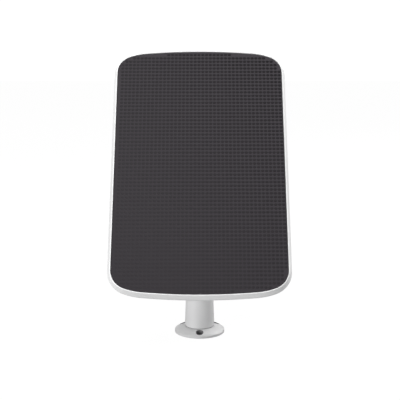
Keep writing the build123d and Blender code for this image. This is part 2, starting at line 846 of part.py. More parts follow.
def make_gland_washer():
    """Silicone washer under the gland's flange."""
    outer = gland_flange_radius - gland_washer_inset
    inner = gland_neck_radius + gland_washer_gap
    return tube(outer, inner, back_z - gland_washer_thickness, back_z, *gland_place)


def make_gland_nut():
    """Nut inside the casing."""
    nut = hex_bar(gland_nut_flats, floor_z, floor_z + gland_nut_height, *gland_place)
    bore_top = floor_z + gland_nut_height + 1
    return nut - rod(gland_neck_radius + thread_gap, floor_z - 1, bore_top, *gland_place)


def make_vent_membrane():
    """Breathable disc on the floor of the vent's recess."""
    top = back_z + vent_recess_depth
    return rod(vent_recess_radius - 1.2, top - vent_membrane_thickness, top, *vent_place)


def make_vent_cap():
    """Round cap with three slots over the membrane."""
    top = back_z + vent_recess_depth - vent_membrane_thickness
    x, y = vent_place
    cap = rod(vent_cap_radius, top - vent_cap_height, top, x, y)
    cap = fillet(edges_at(cap, top - vent_cap_height), 0.5)
    for k in (-1, 0, 1):
        cap -= block(x, y + k * 1.9, top - vent_cap_height - 1, 5.0, 0.8, vent_cap_height + 2)
    return cap


# ---------------------------------------------------------------- the assembly
def base_parts():
    """Base and post, in the object's frame."""
    return {
        "base_flange": make_base_flange(),
        "swivel_glide_ring": make_glide_ring(),
        "post": make_post(),
        "post_foot_plug": make_post_plug(),
        "post_foot_insert": make_post_insert(),
        "swivel_screw": make_swivel_screw(),
        "swivel_flat_washer": make_swivel_flat_washer(),
        "swivel_wave_washer": make_swivel_wave_washer(),
    }


def panel_parts():
    """Hinge, turntable, casing, laminate and electronics, in the panel's frame."""
    leads = make_leads()
    return {
        "tilt_bracket": make_tilt_bracket(),
        "tilt_friction_washers": make_tilt_washers(),
        "tilt_bolt": make_tilt_bolt(),
        "tilt_nut": make_tilt_nut(),
        "turntable_pad": make_turntable_pad(),
        "turntable_screw": make_turntable_screw(),
        "turntable_wave_washer": make_turntable_washer(),
        "turntable_insert": make_turntable_insert(),
        "front_frame": make_front_frame(),
        "rear_cover": make_rear_cover(),
        "casing_gasket": make_casing_gasket(),
        "cover_screws": make_cover_screws(),
        "front_film": slab(0, film_back, film_top),
        "front_encapsulant": make_front_encapsulant(),
        "solar_cells": group(cell_solids()),
        "cell_ribbons": group(ribbon_solids()),
        "rear_encapsulant": slab(0, board_top, ribbon_back),
        "laminate_board": slab(0, board_back, board_top),
        "laminate_tape": slab(-tape_edge_gap, ledge_top, board_back)
        - slab(tape_edge_gap - ledge_width, ledge_top - 1, board_back + 1),
        "cell_terminals": make_cell_terminals(),
        "positive_lead": leads[1],
        "negative_lead": leads[0],
        "circuit_board": make_circuit_board(),
        "circuit_screws": make_circuit_screws(),
        "terminal_block": make_terminal_block(),
        "power_inductor": make_power_inductor(),
        "regulator_chip": make_regulator_chip(),
        "blocking_diodes": make_blocking_diodes(),
        "capacitors": make_capacitors(),
        "output_header": make_output_header(),
        "cable_gland": make_cable_gland(),
        "gland_washer": make_gland_washer(),
        "gland_nut": make_gland_nut(),
        "vent_membrane": make_vent_membrane(),
        "vent_cap": make_vent_cap(),
    }


def main():
    os.makedirs("parts", exist_ok=True)
    parts = base_parts()
    parts.update({name: PANEL * shape for name, shape in panel_parts().items()})
    for name, shape in parts.items():
        export_step(shape, f"parts/{name}.step")


main()
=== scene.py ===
# %% [markdown]
# # A solar charging panel on a screw-down post
#
# The real object charges an outdoor camera. A dark embossed film covers the cells, a white two-part
# casing holds them, and a tapered post with a round base carries the casing on a hinge.
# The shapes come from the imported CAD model, which stays as it is. This lesson gives every piece its
# finish, rebuilds the film with its raised pattern, and sets up the light and the camera.

# %% Load the frame and keep the CAD box
import json
import math

import bmesh
import bpy
from mathutils import Matrix, Vector


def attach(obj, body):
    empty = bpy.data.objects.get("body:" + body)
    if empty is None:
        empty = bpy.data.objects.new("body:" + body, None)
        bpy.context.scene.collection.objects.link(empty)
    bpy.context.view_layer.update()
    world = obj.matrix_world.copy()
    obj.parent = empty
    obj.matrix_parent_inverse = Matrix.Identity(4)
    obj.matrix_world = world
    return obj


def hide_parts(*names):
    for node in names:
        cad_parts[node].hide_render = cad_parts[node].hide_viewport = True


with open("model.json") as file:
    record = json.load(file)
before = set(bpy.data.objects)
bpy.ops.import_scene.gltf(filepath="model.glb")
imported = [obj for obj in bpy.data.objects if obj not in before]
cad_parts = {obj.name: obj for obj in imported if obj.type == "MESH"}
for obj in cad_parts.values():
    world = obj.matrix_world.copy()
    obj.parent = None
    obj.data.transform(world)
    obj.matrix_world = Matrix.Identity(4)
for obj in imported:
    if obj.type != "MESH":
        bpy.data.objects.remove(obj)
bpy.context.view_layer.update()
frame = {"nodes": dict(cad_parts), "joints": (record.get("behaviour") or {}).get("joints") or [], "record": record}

nodes = frame["nodes"]
joints = {joint["name"]: joint for joint in frame["joints"]}

# %% [markdown]
# ## The panel's own frame
#
# The panel leans back, so a pattern on its face is easiest to think of in the panel's own frame:
# X across, Y up the panel and Z out of its front, with the tilt axis as origin. The joints of the
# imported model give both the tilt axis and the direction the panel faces.

# %% Work out the panel's frame from the joints
MM = 0.001
pivot = Vector(joints["panel_tilt"]["pos_m"])
facing = Vector(joints["panel_turn"]["axis"]).normalized()
across = Vector((1, 0, 0))
panel_up = facing.cross(across)
panel_frame = Matrix.Translation(pivot) @ Matrix((across, panel_up, facing)).transposed().to_4x4()
panel_turned = math.acos(facing.z)
print("pivot", [round(x, 4) for x in pivot], "turned", round(math.degrees(panel_turned), 2))


def local_points(node):
    """A CAD node's points in the panel's frame."""
    inverse = panel_frame.inverted()
    return [inverse @ vertex.co for vertex in nodes[node].data.vertices]


film_points = local_points("front_film")
film_top = max(point.z for point in film_points)
film_width = 2 * max(point.x for point in film_points)
film_length = 2 * max(point.y for point in film_points)
print("film", round(film_width, 4), "x", round(film_length, 4), "top at", round(film_top, 4))

# %% [markdown]
# ## Small helpers for node trees
#
# A material is a node tree: textures on the left, one Principled shader on the right. Three short
# helpers keep the rest of the lesson readable. One makes a node with its settings, one joins two
# sockets, and one starts a material and hands back its tree and shader.

# %% Node helpers
def add(tree, kind, settings=None, **inputs):
    """A node with its settings, and values for its inputs by name."""
    node = tree.nodes.new(kind)
    for key, value in (settings or {}).items():
        setattr(node, key, value)
    for key, value in inputs.items():
        node.inputs[key.replace("_", " ")].default_value = value
    return node


def join(tree, source, target):
    """Link two sockets."""
    tree.links.new(source, target)


def sum_up(tree, operation, first, second):
    """A math node on two sockets or numbers, and its result."""
    node = add(tree, "ShaderNodeMath", {"operation": operation})
    for socket, value in zip(node.inputs, (first, second)):
        if isinstance(value, (int, float)):
            socket.default_value = value
        else:
            join(tree, value, socket)
    return node.outputs[0]


def ramp(tree, value, *stops):
    """A colour ramp with stops of (place, colour) on a value, and its colour."""
    node = add(tree, "ShaderNodeValToRGB")
    join(tree, value, node.inputs["Fac"])
    elements = node.color_ramp.elements
    while len(elements) < len(stops):
        elements.new(0.5)
    for element, (place, colour) in zip(elements, stops):
        element.position = place
        element.color = (*colour, 1.0)
    return node.outputs["Color"]


def blend(tree, share, first, second, mode="MIX"):
    """Mix two colours, each a socket or a colour, by a share."""
    node = add(tree, "ShaderNodeMix", {"data_type": "RGBA", "blend_type": mode})
    places = (node.inputs["Factor"], node.inputs[6], node.inputs[7])
    for socket, value in zip(places, (share, first, second)):
        if isinstance(value, bpy.types.NodeSocket):
            join(tree, value, socket)
        elif isinstance(value, (int, float)):
            socket.default_value = value
        else:
            socket.default_value = (*value, 1.0)
    return node.outputs[2]


def start_material(name, roughness=0.5, metallic=0.0, **inputs):
    """A new material, its tree, its Principled shader and its Object coordinates."""
    material = bpy.data.materials.new(name)
    material.use_nodes = True
    tree = material.node_tree
    shader = tree.nodes["Principled BSDF"]
    shader.inputs["Roughness"].default_value = roughness
    shader.inputs["Metallic"].default_value = metallic
    for key, value in inputs.items():
        shader.inputs[key.replace("_", " ")].default_value = value
    place = add(tree, "ShaderNodeTexCoord").outputs["Object"]
    return material, tree, shader, place


def start_group(name, inputs, outputs):
    """A shader node group with named float or vector sockets, and its two end nodes."""
    group = bpy.data.node_groups.new(name, "ShaderNodeTree")
    for socket_name, kind, default in inputs:
        socket = group.interface.new_socket(socket_name, in_out="INPUT", socket_type=kind)
        if default is not None:
            socket.default_value = default
    for socket_name, kind in outputs:
        group.interface.new_socket(socket_name, in_out="OUTPUT", socket_type=kind)
    return group, group.nodes.new("NodeGroupInput"), group.nodes.new("NodeGroupOutput")


def place_group(tree, group, place, **inputs):
    """Put a group in a tree, with the pattern's place and its own values."""
    node = add(tree, "ShaderNodeGroup", {"node_tree": group})
    join(tree, place, node.inputs["Vector"])
    for key, value in inputs.items():
        node.inputs[key.replace("_", " ")].default_value = value
    return node


def add_bump(tree, shader, height, distance, strength=1.0):
    """Raise the surface by a height from 0 to 1, times a distance in metres."""
    node = add(tree, "ShaderNodeBump", Strength=strength, Distance=distance)
    join(tree, height, node.inputs["Height"])
    join(tree, node.outputs["Normal"], shader.inputs["Normal"])


print("helpers ready")

# %% [markdown]
# ## Effects that several finishes share
#
# Moulded plastic is never quite even. The tool leaves a fine spark-eroded grain, and the colour and
# the gloss drift a little over a few centimetres. Both effects are node groups, so each material
# can use them at its own size. A third group draws the fine rings that a lathe leaves on a turned
# or rolled metal face.

# %% The grain group
FLOAT, VECTOR, COLOUR = "NodeSocketFloat", "NodeSocketVector", "NodeSocketColor"


def make_grain_group():
    """Fine moulded grain: a height, and a little extra roughness in its valleys."""
    group, enter, leave = start_group(
        "moulded_grain",
        [("Vector", VECTOR, None), ("Grain Size", FLOAT, 0.0004), ("Roughness", FLOAT, 0.4),
         ("Roughness Spread", FLOAT, 0.06)],
        [("Height", FLOAT), ("Roughness", FLOAT)],
    )
    scale = sum_up(group, "DIVIDE", 1.0, enter.outputs["Grain Size"])
    fine = add(group, "ShaderNodeTexNoise", Detail=3.0, Roughness=0.6)
    cells = add(group, "ShaderNodeTexVoronoi", {"feature": "SMOOTH_F1"})
    for texture in (fine, cells):
        join(group, enter.outputs["Vector"], texture.inputs["Vector"])
        join(group, scale, texture.inputs["Scale"])
    height = sum_up(group, "ADD", fine.outputs[0], cells.outputs["Distance"])
    height = sum_up(group, "MULTIPLY", height, 0.5)
    shift = sum_up(group, "SUBTRACT", 0.5, fine.outputs[0])
    shift = sum_up(group, "MULTIPLY", shift, enter.outputs["Roughness Spread"])
    rough = sum_up(group, "ADD", enter.outputs["Roughness"], shift)
    join(group, height, leave.inputs["Height"])
    join(group, rough, leave.inputs["Roughness"])
    return group


grain_group = make_grain_group()
print("group:", grain_group.name)


# %% The tone group
def make_tone_group():
    """A slow drift of colour over a few centimetres, between two tones."""
    group, enter, leave = start_group(
        "slow_tone",
        [("Vector", VECTOR, None), ("Patch Size", FLOAT, 0.03), ("Light Tone", COLOUR, None),
         ("Dark Tone", COLOUR, None)],
        [("Color", COLOUR), ("Mask", FLOAT)],
    )
    scale = sum_up(group, "DIVIDE", 1.0, enter.outputs["Patch Size"])
    noise = add(group, "ShaderNodeTexNoise", Detail=2.0)
    join(group, enter.outputs["Vector"], noise.inputs["Vector"])
    join(group, scale, noise.inputs["Scale"])
    mixed = blend(group, noise.outputs[0], enter.outputs["Dark Tone"], enter.outputs["Light Tone"])
    join(group, mixed, leave.inputs["Color"])
    join(group, noise.outputs[0], leave.inputs["Mask"])
    return group


tone_group = make_tone_group()
print("group:", tone_group.name)


# %% The turned-metal group
def make_turning_group():
    """Fine rings about the Z axis of the pattern's place, as a lathe leaves them."""
    group, enter, leave = start_group(
        "turning_marks",
        [("Vector", VECTOR, None), ("Ring Pitch", FLOAT, 0.00012), ("Roughness", FLOAT, 0.3)],
        [("Height", FLOAT), ("Roughness", FLOAT)],
    )
    # One full wave of this texture spans 2 pi / 20 of the scaled distance.
    scale = sum_up(group, "DIVIDE", math.pi / 10, enter.outputs["Ring Pitch"])
    rings = add(group, "ShaderNodeTexWave", {"wave_type": "RINGS", "rings_direction": "Z"}, Distortion=0.3)
    smear = add(group, "ShaderNodeTexNoise", Scale=900.0, Detail=2.0)
    for texture in (rings, smear):
        join(group, enter.outputs["Vector"], texture.inputs["Vector"])
    join(group, scale, rings.inputs["Scale"])
    rough = sum_up(group, "MULTIPLY", smear.outputs[0], 0.2)
    rough = sum_up(group, "ADD", rough, enter.outputs["Roughness"])
    rough = sum_up(group, "SUBTRACT", rough, 0.1)
    join(group, rings.outputs["Fac"], leave.inputs["Height"])
    join(group, rough, leave.inputs["Roughness"])
    return group


turning_group = make_turning_group()
print("group:", turning_group.name)

# %% [markdown]
# ## White moulded plastic
#
# The casing, the hinge, the post and the base are a white, weather-proof plastic with a fine satin
# grain. The casing is given a brighter white than the post, the hinge and the base: the same white
# painted lighter, a painted light for the brighter light on the casing, and not a known grade of
# plastic. A plain white would look like paper, so each tone drifts slightly, the grain scatters the
# highlights, and a thin coat keeps the sharp edge of a reflection that a moulded skin has.

# %% Plastics
def make_plastic(name, light, dark, roughness, grain_size, grain_depth, patch_size=0.03, **inputs):
    """A moulded plastic or rubber: two close tones, a grain and a varied roughness."""
    material, tree, shader, place = start_material(name, roughness, **inputs)
    tone = place_group(
        tree, tone_group, place, Patch_Size=patch_size, Light_Tone=(*light, 1), Dark_Tone=(*dark, 1)
    )
    grain = place_group(tree, grain_group, place, Grain_Size=grain_size, Roughness=roughness)
    join(tree, tone.outputs["Color"], shader.inputs["Base Color"])
    join(tree, grain.outputs["Roughness"], shader.inputs["Roughness"])
    add_bump(tree, shader, grain.outputs["Height"], grain_depth)
    return material


satin_tones = ((0.80, 0.80, 0.803), (0.775, 0.775, 0.779))
# The casing's copy of the white, painted lighter: a painted light.
painted_lighter_tones = ((0.90, 0.90, 0.902), (0.875, 0.875, 0.878))
satin_finish = (0.38, 0.00045, 0.000006)  # roughness, grain size and grain depth
small_patch = 0.004  # size of the tone's patches on pieces a few millimetres across
tiny_patch = 0.003

white_plastic = make_plastic(
    "white_satin_plastic", *satin_tones, *satin_finish, Coat_Weight=0.25, Coat_Roughness=0.2
)
painted_lighter_plastic = make_plastic(
    "white_plastic_painted_lighter", *painted_lighter_tones, *satin_finish, Coat_Weight=0.25, Coat_Roughness=0.2
)
glide_plastic = make_plastic("glide_plastic", (0.34, 0.34, 0.345), (0.29, 0.29, 0.295), 0.5, 0.0004, 0.000006)
grey_acetal = make_plastic("grey_acetal", (0.22, 0.22, 0.23), (0.18, 0.18, 0.19), 0.45, 0.0004, 0.000006)
silicone = make_plastic("grey_silicone", (0.12, 0.12, 0.125), (0.09, 0.09, 0.095), 0.7, 0.0003, 0.00001)
cream_plastic = make_plastic(
    "cream_connector", (0.72, 0.67, 0.52), (0.68, 0.62, 0.47), 0.4, 0.0003, 0.000005, small_patch
)
green_plastic = make_plastic(
    "terminal_green", (0.03, 0.20, 0.09), (0.02, 0.15, 0.07), 0.4, 0.0003, 0.000005, small_patch
)
red_insulation = make_plastic(
    "red_insulation", (0.45, 0.02, 0.015), (0.38, 0.015, 0.01), 0.35, 0.0006, 0.000004, small_patch
)
black_insulation = make_plastic(
    "black_insulation", (0.02, 0.02, 0.02), (0.012, 0.012, 0.012), 0.35, 0.0006, 0.000004, small_patch
)
black_epoxy = make_plastic(
    "black_epoxy", (0.03, 0.03, 0.03), (0.02, 0.02, 0.02), 0.55, 0.00015, 0.000008, tiny_patch
)
ferrite = make_plastic(
    "ferrite", (0.06, 0.06, 0.065), (0.04, 0.04, 0.045), 0.6, 0.0002, 0.00001, tiny_patch
)
print("plastics:", len(bpy.data.materials))


# %% [markdown]
# The base is the same white plastic. Its three screw recesses are deep and narrow, and in a room this
# white the light that bounces inside them leaves them paler than such holes look. A darker tone
# inside the recesses stands in for that shade. It is a stand-in and not a finish of the real part,
# so it is kept to the recesses, which are found by their distance from the three screw axes.

# %% The base's plastic, with painted shade in its screw recesses
screw_circle_radius = 16.5 * MM
recess_radius = 3.13 * MM
# The colour painted into the three recesses, a painted shade.
recess_painted_shade = (0.19, 0.19, 0.195)
recess_bearings = (-90, 30, 150)  # degrees round the base


def make_base_plastic():
    """The white plastic, with a darker tone in the three recesses that stands in for their shade."""
    material = make_plastic(
        "base_white_plastic", *satin_tones, *satin_finish, Coat_Weight=0.15, Coat_Roughness=0.25
    )
    tree = material.node_tree
    shader = tree.nodes["Principled BSDF"]
    tone = shader.inputs["Base Color"].links[0].from_socket
    flat = add(tree, "ShaderNodeVectorMath", {"operation": "MULTIPLY"})
    flat.inputs[1].default_value = (1, 1, 0)
    join(tree, add(tree, "ShaderNodeTexCoord").outputs["Object"], flat.inputs[0])
    for degrees in recess_bearings:
        angle = math.radians(degrees)
        centre = (screw_circle_radius * math.cos(angle), screw_circle_radius * math.sin(angle), 0)
        reach = add(tree, "ShaderNodeVectorMath", {"operation": "DISTANCE"})
        join(tree, flat.outputs[0], reach.inputs[0])
        reach.inputs[1].default_value = centre
        inside = sum_up(tree, "LESS_THAN", reach.outputs["Value"], recess_radius)
        # Each recess is painted darker: a painted shade.
        tone = blend(tree, inside, tone, recess_painted_shade)
    join(tree, tone, shader.inputs["Base Color"])
    return material


base_plastic = make_base_plastic()
print("base plastic ready")

# %% [markdown]
# ## Metals
#
# The screws and the nut are stainless steel with turned heads, the threaded inserts are brass, and
# the cells' ribbons are tinned copper. Metal shows its making in its reflections, so the rings of
# the turning group go to the roughness and the bump, and the colour hardly varies.

# %% Turned and drawn metals
def make_metal(name, light, dark, roughness, ring_pitch, turned_about=None):
    """A bare metal with turning marks about an axis through a point."""
    material, tree, shader, place = start_material(name, roughness, metallic=1.0)
    if turned_about:
        centre, turn = turned_about
        mapping = add(tree, "ShaderNodeMapping", {"vector_type": "TEXTURE"}, Location=centre, Rotation=turn)
        join(tree, place, mapping.inputs["Vector"])
        place = mapping.outputs["Vector"]
    tone = place_group(
        tree, tone_group, place, Patch_Size=small_patch, Light_Tone=(*light, 1), Dark_Tone=(*dark, 1)
    )
    marks = place_group(tree, turning_group, place, Ring_Pitch=ring_pitch, Roughness=roughness)
    join(tree, tone.outputs["Color"], shader.inputs["Base Color"])
    join(tree, marks.outputs["Roughness"], shader.inputs["Roughness"])
    add_bump(tree, shader, marks.outputs["Height"], 0.000004)
    return material


steel_light, steel_dark = (0.60, 0.60, 0.61), (0.52, 0.52, 0.53)
steel_upright = make_metal("steel_turned_upright", steel_light, steel_dark, 0.3, 0.00025)
steel_across = make_metal(
    "steel_turned_across", steel_light, steel_dark, 0.28, 0.0003, (pivot, (0, math.pi / 2, 0))
)
steel_panel = make_metal(
    "steel_turned_to_panel", steel_light, steel_dark, 0.3, 0.00025, (pivot, (panel_turned, 0, 0))
)
brass = make_metal("brass_insert", (0.72, 0.52, 0.22), (0.62, 0.44, 0.18), 0.32, 0.0003)
tinned_copper = make_metal("tinned_copper", (0.68, 0.66, 0.62), (0.60, 0.57, 0.52), 0.35, 0.0002)
aluminium = make_metal("aluminium_can", (0.78, 0.78, 0.79), (0.70, 0.70, 0.71), 0.3, 0.0002)
print("metals done:", len(bpy.data.materials))

# %% [markdown]
# ## Laminate, board and sheets
#
# Behind the film are clear sheets, dark cells with fine silver fingers, a glass-fibre board, a foam
# tape and, lower down, a green circuit board. They only show when the part is taken apart, and
# each still has its own pattern: fingers on the cells, a weave in the board, pores in the foam.

# %% Patterns in the panel's frame
def on_panel(tree, place):
    """The pattern's place turned into the panel's frame."""
    node = add(
        tree, "ShaderNodeMapping", {"vector_type": "TEXTURE"}, Location=pivot, Rotation=(panel_turned, 0, 0)
    )
    join(tree, place, node.inputs["Vector"])
    return node.outputs["Vector"]


def bands(tree, place, direction, pitch, profile="SIN"):
    """Even bands along X or Y, a pitch apart, from 0 to 1."""
    node = add(
        tree, "ShaderNodeTexWave", {"bands_direction": direction, "wave_profile": profile},
        Scale=math.pi / 10 / pitch,
    )
    join(tree, place, node.inputs["Vector"])
    return node.outputs["Fac"]


def make_woven(name, light, dark, pitch, roughness, depth, **inputs):
    """A plain weave: bands both ways, the higher one on top."""
    material, tree, shader, place = start_material(name, roughness, **inputs)
    place = on_panel(tree, place)
    weave = sum_up(tree, "MAXIMUM", bands(tree, place, "X", pitch), bands(tree, place, "Y", pitch))
    join(tree, ramp(tree, weave, (0.3, dark), (0.9, light)), shader.inputs["Base Color"])
    grain = place_group(tree, grain_group, place, Grain_Size=pitch, Roughness=roughness)
    join(tree, grain.outputs["Roughness"], shader.inputs["Roughness"])
    add_bump(tree, shader, weave, depth)
    return material


laminate_board = make_woven(
    "glass_fibre_board", (0.035, 0.035, 0.035), (0.02, 0.02, 0.02), 0.0006, 0.5, 0.00001
)
membrane = make_woven("vent_membrane", (0.80, 0.80, 0.80), (0.62, 0.62, 0.62), 0.0002, 0.8, 0.00001)
print("woven:", laminate_board.name, membrane.name)


# %% Cells, clear sheets, foam and circuit board
def make_cell_material():
    """Dark blue-black silicon with silver fingers across it."""
    material, tree, shader, place = start_material("silicon_cell", 0.22, Coat_Weight=0.6, Coat_Roughness=0.1)
    place = on_panel(tree, place)
    fingers = bands(tree, place, "Y", 0.0018)
    crystals = add(tree, "ShaderNodeTexVoronoi", Scale=180.0)
    join(tree, place, crystals.inputs["Vector"])
    wafer = ramp(
        tree, crystals.outputs["Distance"], (0.0, (0.006, 0.008, 0.022)), (1.0, (0.012, 0.015, 0.040))
    )
    mask = ramp(tree, fingers, (0.97, (0, 0, 0)), (1.0, (1, 1, 1)))
    join(tree, blend(tree, mask, wafer, (0.5, 0.5, 0.52)), shader.inputs["Base Color"])
    join(tree, mask, shader.inputs["Metallic"])
    return material


def make_foam_material():
    """Closed-cell foam tape with small pores."""
    material, tree, shader, place = start_material("foam_tape", 0.9)
    pores = add(tree, "ShaderNodeTexVoronoi", Scale=2500.0)
    join(tree, place, pores.inputs["Vector"])
    colour = ramp(tree, pores.outputs["Distance"], (0.1, (0.008, 0.008, 0.008)), (0.6, (0.03, 0.03, 0.03)))
    join(tree, colour, shader.inputs["Base Color"])
    add_bump(tree, shader, pores.outputs["Distance"], 0.00008)
    return material


def make_circuit_material():
    """Green solder resist over copper traces that run in straight steps."""
    material, tree, shader, place = start_material("circuit_board", 0.35, Coat_Weight=0.3)
    place = on_panel(tree, place)
    traces = add(
        tree, "ShaderNodeTexBrick", Scale=1.0, Mortar_Size=0.0003, Brick_Width=0.006, Row_Height=0.0016
    )
    join(tree, place, traces.inputs["Vector"])
    colour = blend(tree, traces.outputs["Fac"], (0.008, 0.075, 0.03), (0.02, 0.15, 0.06))
    join(tree, colour, shader.inputs["Base Color"])
    add_bump(tree, shader, traces.outputs["Fac"], 0.00003)
    return material


cell_silicon = make_cell_material()
foam_tape = make_foam_material()
green_board = make_circuit_material()
clear_sheet = make_plastic(
    "clear_encapsulant", (0.78, 0.78, 0.76), (0.72, 0.72, 0.70), 0.15, 0.002, 0.000003,
    Transmission_Weight=0.9,
)
print("inner materials done")

# %% [markdown]
# ## The embossed film
#
# The cells lie under a dark satin film that is pressed into a square lattice of small bumps, about
# three millimetres apart, with a narrow plain border. The bumps are real geometry: the light
# catches each one on its own, and a bump map would look flat from the side. A modifier on a fine
# grid could raise them too, but it would need far more faces than one small dome per place.
#
# The film has three tones. The land between the bumps is painted lightest and each bump darker: a
# painted sheen on the land and a painted shade for the light that each bump turns away. The plain
# border is smooth and painted darkest, partly its own plain film and partly a painted shade where it
# meets the frame. The relief and the painted sheen and shade are strongest near the panel's upper
# right corner and fade evenly towards the lower left. That fade is a guess: a real film may be
# pressed evenly all over, and a Depth Across and Depth Up of 0 would give that.

# %% The film's materials
lattice_pitch = 3.12 * MM
# One share sets both the bumps' height and the strength of the film's painted sheen and shade.
depth_and_painted_shade_at_middle = 0.53
depth_and_painted_shade_across = 3.1  # gain per metre
depth_and_painted_shade_up = 3.3
least_depth_and_painted_shade = 0.15
# The even tone that the film's painted sheen and shade fade to.
even_film_tone = (0.0268, 0.0235, 0.0273)


def make_painted_shade_fade_group():
    """How strong the film's painted sheen and shade are, from 0 to 1, at a place in the panel's frame; the bumps'
    height uses the same share.
    """
    group, enter, leave = start_group("painted_sheen_and_shade_fade", [("Vector", VECTOR, None)], [("Depth", FLOAT)])
    parts = add(group, "ShaderNodeSeparateXYZ")
    join(group, enter.outputs["Vector"], parts.inputs[0])
    slope = sum_up(group, "MULTIPLY", parts.outputs["X"], depth_and_painted_shade_across)
    rise = sum_up(group, "MULTIPLY", parts.outputs["Y"], depth_and_painted_shade_up)
    depth = sum_up(group, "ADD", sum_up(group, "ADD", slope, rise), depth_and_painted_shade_at_middle)
    depth = sum_up(group, "MINIMUM", sum_up(group, "MAXIMUM", depth, least_depth_and_painted_shade), 1.0)
    join(group, depth, leave.inputs["Depth"])
    return group


painted_shade_fade_group = make_painted_shade_fade_group()


def make_film_material(name, light, dark, roughness, grain_depth, fades=True):
    """Dark satin film with a slow drift of tone, a fine tooth, and, where it fades, a painted sheen and shade that
    fade to an even tone with the relief.
    """
    material = make_plastic(
        name, light, dark, roughness, 0.00035, grain_depth, 0.05, IOR=1.4, Specular_IOR_Level=0.15
    )
    if fades:
        tree = material.node_tree
        shader = tree.nodes["Principled BSDF"]
        own_tone = shader.inputs["Base Color"].links[0].from_socket
        # Towards the lower left the tone fades from the painted sheen and shade to one even tone.
        place = on_panel(tree, add(tree, "ShaderNodeTexCoord").outputs["Object"])
        depth = place_group(tree, painted_shade_fade_group, place)
        faded = blend(tree, depth.outputs["Depth"], even_film_tone, own_tone)
        join(tree, faded, shader.inputs["Base Color"])
    return material


# The land's lighter tone is a painted sheen.
film_land = make_film_material(
    "film_land", (0.0455, 0.0403, 0.0465), (0.0395, 0.0349, 0.0405), 0.5, 0.000008
)
# The bumps' darker tone is a painted shade.
film_bump = make_film_material(
    "film_bump", (0.0072, 0.0055, 0.0075), (0.0052, 0.0040, 0.0055), 0.42, 0.000006
)
# The border's darkest tone is its plain smooth film and a painted shade where it meets the frame.
film_border = make_film_material(
    "film_border", (0.014, 0.012, 0.015), (0.012, 0.010, 0.013), 0.4, 0.000004, fades=False
)
print("film materials:", film_land.name, film_bump.name, film_border.name)

# %% [markdown]
# The flat part of the film starts as a copy of its CAD node, because that already has the right
# outline. The copy is turned into the panel's frame, its loose triangles are merged, and its face is
# set back by the bumps' height, so that the bumps reach the height of the CAD film and no further.
# Insetting the face gives the plain border a face loop of its own.

# %% Build the flat film with its plain border
bump_height = 0.2 * MM
lattice_shift = (-0.51 * MM, -0.06 * MM)
bump_half_width = 1.44 * MM
bump_half_length = 1.14 * MM
border_width = 0.45 * MM
weld_distance = 0.01 * MM


def make_flat_film():
    """The film without its bumps, in the panel's frame: land in slot 0, border in slot 1."""
    mesh = nodes["front_film"].data.copy()
    mesh.name = "film_flat"
    mesh.transform(panel_frame.inverted())
    shape = bmesh.new()
    shape.from_mesh(mesh)
    bmesh.ops.remove_doubles(shape, verts=shape.verts, dist=weld_distance)
    bmesh.ops.dissolve_limit(shape, angle_limit=math.radians(1), verts=shape.verts, edges=shape.edges)
    front = max(shape.faces, key=lambda face: face.calc_center_median().z)
    for vertex in front.verts:
        vertex.co.z = film_top - bump_height
    for face in shape.faces:
        face.material_index = 1
    bmesh.ops.inset_individual(shape, faces=[front], thickness=border_width)
    front.material_index = 0
    shape.to_mesh(mesh)
    shape.free()
    mesh.materials.clear()
    for material in (film_land, film_border, film_bump):
        mesh.materials.append(material)
    film = bpy.data.objects.new("film_sheet", mesh)
    bpy.context.scene.collection.objects.link(film)
    return film


film = make_flat_film()
print("flat film faces:", len(film.data.polygons))

# %% [markdown]
# The bumps are a Geometry Nodes tree. A grid of points covers the film, a ray straight down keeps
# the points that land on the inner face, and the distance to that face's rim drops the ones too
# near the border. Each point gets one low dome with a closed underside, sunk slightly into the
# film. The tree ends in Realize Instances and Set Material, because instances alone aren't exported.

# %% Build the emboss tree
def start_geometry(name, inputs):
    """A geometry node group with a geometry in and out, and named inputs."""
    group = bpy.data.node_groups.new(name, "GeometryNodeTree")
    group.interface.new_socket("Geometry", in_out="INPUT", socket_type="NodeSocketGeometry")
    for socket_name, kind, default in inputs:
        socket = group.interface.new_socket(socket_name, in_out="INPUT", socket_type=kind)
        if default is not None:
            socket.default_value = default
    group.interface.new_socket("Geometry", in_out="OUTPUT", socket_type="NodeSocketGeometry")
    return group, group.nodes.new("NodeGroupInput"), group.nodes.new("NodeGroupOutput")


def compare(tree, value, operation, limit):
    """True where a value passes a limit."""
    node = add(tree, "FunctionNodeCompare", {"data_type": "FLOAT", "operation": operation})
    join(tree, value, node.inputs[0])
    if isinstance(limit, (int, float)):
        node.inputs[1].default_value = limit
    else:
        join(tree, limit, node.inputs[1])
    return node.outputs[0]


def make_dome_mesh():
    """One low dome of unit radius and height, closed below, as a small mesh object."""
    sides = 10
    rings = ((1.0, -0.12), (0.97, 0.10), (0.72, 0.62), (0.36, 0.92))
    mesh = bpy.data.meshes.new("dome")
    shape = bmesh.new()
    loops = []
    for radius, height in rings:
        turns = [2 * math.pi * k / sides for k in range(sides)]
        loops.append([shape.verts.new((radius * math.cos(t), radius * math.sin(t), height)) for t in turns])
    top = shape.verts.new((0, 0, 1.0))
    for low, high in zip(loops, loops[1:]):
        for k in range(sides):
            after = (k + 1) % sides
            shape.faces.new((low[k], low[after], high[after], high[k]))
    for k in range(sides):
        shape.faces.new((loops[-1][k], loops[-1][(k + 1) % sides], top))
    shape.faces.new(reversed(loops[0]))
    for face in shape.faces:
        face.smooth = len(face.verts) < sides
    shape.to_mesh(mesh)
    shape.free()
    return bpy.data.objects.new("dome", mesh)


